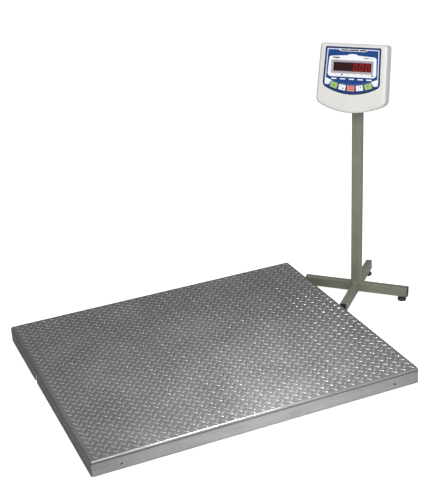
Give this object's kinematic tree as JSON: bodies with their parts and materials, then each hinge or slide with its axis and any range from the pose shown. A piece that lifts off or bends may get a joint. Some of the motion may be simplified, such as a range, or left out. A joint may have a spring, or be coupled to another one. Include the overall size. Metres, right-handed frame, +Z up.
{
  "type": "platform shipping scale",
  "caption": "Low chequer-plate floor scale on levelling feet, with a separate column stand on a cross base that holds a tilted digital display head with keys.",
  "frame": {"origin": "the point of the floor under the centre of the platform", "axes": "+X to the right along the platform's front edge, +Y to its back, +Z up"},
  "size_m": [1.5227, 1, 1.0499],
  "materials": {
    "platform_paint": "semi-gloss grey paint over rolled chequer plate, worn bright on the raised lugs",
    "zinc_steel": "zinc-plated",
    "cell_steel": "nickel-plated alloy steel",
    "foot_steel": "black coated cast pad",
    "thread_steel": "zinc-plated thread",
    "circuit_board": "green solder mask",
    "black_plastic": "fine moulded grain",
    "cable_rubber": "smooth jacket",
    "stand_paint": "satin olive-grey coating",
    "housing_plastic": "off-white moulded ABS, light grain",
    "label_blue": "screen-printed polyester film",
    "bezel_grey": "smooth moulding",
    "window_dark": "dark red tinted acrylic",
    "digit_module": "black face with red segments",
    "key_green": "embossed film",
    "key_white": "embossed film",
    "key_red": "embossed film",
    "battery_case": "moulded case",
    "transformer_iron": "varnished laminations"
  },
  "bodies": {
    "root": {"deck_plate": "platform_paint", "deck_ribs": "platform_paint", "side_channels": "platform_paint", "lifting_bushes": "platform_paint", "junction_box": "platform_paint", "load_cell_spacers": "zinc_steel", "load_cell_bolts": "zinc_steel", "junction_box_lid": "zinc_steel", "junction_box_screws": "zinc_steel", "bracket_bolts": "zinc_steel", "head_mount_screws": "zinc_steel", "housing_screws": "zinc_steel", "load_cell_front_left": "cell_steel", "load_cell_front_right": "cell_steel", "load_cell_rear_left": "cell_steel", "load_cell_rear_right": "cell_steel", "summing_board": "circuit_board", "display_board": "circuit_board", "keypad_board": "circuit_board", "main_board": "circuit_board", "cable_glands": "black_plastic", "leg_end_caps": "black_plastic", "column_cap": "black_plastic", "mains_inlet": "black_plastic", "switch_frame": "black_plastic", "load_cell_cables": "cable_rubber", "signal_cable": "cable_rubber", "stand_base": "stand_paint", "stand_column": "stand_paint", "head_bracket": "stand_paint", "housing_front": "housing_plastic", "housing_rear": "housing_plastic", "keypad_overlay": "label_blue", "display_bezel": "bezel_grey", "display_window": "window_dark", "led_digits": "digit_module", "battery": "battery_case", "transformer": "transformer_iron"},
    "foot_pad_front_left": {"foot_pad_front_left": "foot_steel"},
    "foot_stem_front_left": {"foot_stem_front_left": "thread_steel"},
    "foot_pad_front_right": {"foot_pad_front_right": "foot_steel"},
    "foot_stem_front_right": {"foot_stem_front_right": "thread_steel"},
    "foot_pad_rear_left": {"foot_pad_rear_left": "foot_steel"},
    "foot_stem_rear_left": {"foot_stem_rear_left": "thread_steel"},
    "foot_pad_rear_right": {"foot_pad_rear_right": "foot_steel"},
    "foot_stem_rear_right": {"foot_stem_rear_right": "thread_steel"},
    "stand_pad_right": {"stand_pad_right": "black_plastic"},
    "stand_stem_right": {"stand_stem_right": "thread_steel"},
    "stand_pad_left": {"stand_pad_left": "black_plastic"},
    "stand_stem_left": {"stand_stem_left": "thread_steel"},
    "stand_pad_back": {"stand_pad_back": "black_plastic"},
    "stand_stem_back": {"stand_stem_back": "thread_steel"},
    "stand_pad_front": {"stand_pad_front": "black_plastic"},
    "stand_stem_front": {"stand_stem_front": "thread_steel"},
    "key_1": {"key_1": "key_green"},
    "key_2": {"key_2": "key_white"},
    "key_3": {"key_3": "key_red"},
    "key_4": {"key_4": "key_white"},
    "key_5": {"key_5": "key_green"},
    "power_rocker": {"power_rocker": "black_plastic"}
  },
  "joints": [
    {"name": "foot_pad_front_left_height", "type": "slide", "parent": "root", "child": "foot_pad_front_left", "axis": [0, 0, -1], "range_m": [0, 0.008]},
    {"name": "foot_stem_front_left_screw", "type": "hinge", "parent": "foot_pad_front_left", "child": "foot_stem_front_left", "pos_m": [-0.54, -0.44, 0.01], "axis": [0, 0, -1], "range_deg": [0, 1660]},
    {"name": "foot_pad_front_right_height", "type": "slide", "parent": "root", "child": "foot_pad_front_right", "axis": [0, 0, -1], "range_m": [0, 0.008]},
    {"name": "foot_stem_front_right_screw", "type": "hinge", "parent": "foot_pad_front_right", "child": "foot_stem_front_right", "pos_m": [0.54, -0.44, 0.01], "axis": [0, 0, -1], "range_deg": [0, 1660]},
    {"name": "foot_pad_rear_left_height", "type": "slide", "parent": "root", "child": "foot_pad_rear_left", "axis": [0, 0, -1], "range_m": [0, 0.008]},
    {"name": "foot_stem_rear_left_screw", "type": "hinge", "parent": "foot_pad_rear_left", "child": "foot_stem_rear_left", "pos_m": [-0.54, 0.44, 0.01], "axis": [0, 0, -1], "range_deg": [0, 1660]},
    {"name": "foot_pad_rear_right_height", "type": "slide", "parent": "root", "child": "foot_pad_rear_right", "axis": [0, 0, -1], "range_m": [0, 0.008]},
    {"name": "foot_stem_rear_right_screw", "type": "hinge", "parent": "foot_pad_rear_right", "child": "foot_stem_rear_right", "pos_m": [0.54, 0.44, 0.01], "axis": [0, 0, -1], "range_deg": [0, 1660]},
    {"name": "stand_pad_right_height", "type": "slide", "parent": "root", "child": "stand_pad_right", "axis": [0, 0, -1], "range_m": [0, 0.01]},
    {"name": "stand_stem_right_screw", "type": "hinge", "parent": "stand_pad_right", "child": "stand_stem_right", "pos_m": [0.89694, 0.07306, 0.01], "axis": [0, 0, -1], "range_deg": [0, 2900]},
    {"name": "stand_pad_left_height", "type": "slide", "parent": "root", "child": "stand_pad_left", "axis": [0, 0, -1], "range_m": [0, 0.01]},
    {"name": "stand_stem_left_screw", "type": "hinge", "parent": "stand_pad_left", "child": "stand_stem_left", "pos_m": [0.63106, 0.33894, 0.01], "axis": [0, 0, -1], "range_deg": [0, 2900]},
    {"name": "stand_pad_back_height", "type": "slide", "parent": "root", "child": "stand_pad_back", "axis": [0, 0, -1], "range_m": [0, 0.01]},
    {"name": "stand_stem_back_screw", "type": "hinge", "parent": "stand_pad_back", "child": "stand_stem_back", "pos_m": [0.89694, 0.33894, 0.01], "axis": [0, 0, -1], "range_deg": [0, 2900]},
    {"name": "stand_pad_front_height", "type": "slide", "parent": "root", "child": "stand_pad_front", "axis": [0, 0, -1], "range_m": [0, 0.01]},
    {"name": "stand_stem_front_screw", "type": "hinge", "parent": "stand_pad_front", "child": "stand_stem_front", "pos_m": [0.63106, 0.07306, 0.01], "axis": [0, 0, -1], "range_deg": [0, 2900]},
    {"name": "key_1_press", "type": "slide", "parent": "root", "child": "key_1", "axis": [0.683, 0.683, -0.2588], "range_m": [0, 0.0005], "stiffness_N_per_m": 60, "springref_m": -0.004},
    {"name": "key_2_press", "type": "slide", "parent": "root", "child": "key_2", "axis": [0.683, 0.683, -0.2588], "range_m": [0, 0.0005], "stiffness_N_per_m": 60, "springref_m": -0.004},
    {"name": "key_3_press", "type": "slide", "parent": "root", "child": "key_3", "axis": [0.683, 0.683, -0.2588], "range_m": [0, 0.0005], "stiffness_N_per_m": 60, "springref_m": -0.004},
    {"name": "key_4_press", "type": "slide", "parent": "root", "child": "key_4", "axis": [0.683, 0.683, -0.2588], "range_m": [0, 0.0005], "stiffness_N_per_m": 60, "springref_m": -0.004},
    {"name": "key_5_press", "type": "slide", "parent": "root", "child": "key_5", "axis": [0.683, 0.683, -0.2588], "range_m": [0, 0.0005], "stiffness_N_per_m": 60, "springref_m": -0.004},
    {"name": "power_rocker_tip", "type": "hinge", "parent": "root", "child": "power_rocker", "pos_m": [0.67038, 0.22551, 0.81876], "axis": [0.183, 0.183, 0.9659], "range_deg": [0, 16]}
  ],
  "couplings": [
    {"joint": "foot_stem_front_left_screw", "follows": "foot_pad_front_left_height", "rad_per_m": 3590.4},
    {"joint": "foot_stem_front_right_screw", "follows": "foot_pad_front_right_height", "rad_per_m": 3590.4},
    {"joint": "foot_stem_rear_left_screw", "follows": "foot_pad_rear_left_height", "rad_per_m": 3590.4},
    {"joint": "foot_stem_rear_right_screw", "follows": "foot_pad_rear_right_height", "rad_per_m": 3590.4},
    {"joint": "stand_stem_right_screw", "follows": "stand_pad_right_height", "rad_per_m": 5026.5},
    {"joint": "stand_stem_left_screw", "follows": "stand_pad_left_height", "rad_per_m": 5026.5},
    {"joint": "stand_stem_back_screw", "follows": "stand_pad_back_height", "rad_per_m": 5026.5},
    {"joint": "stand_stem_front_screw", "follows": "stand_pad_front_height", "rad_per_m": 5026.5}
  ]
}
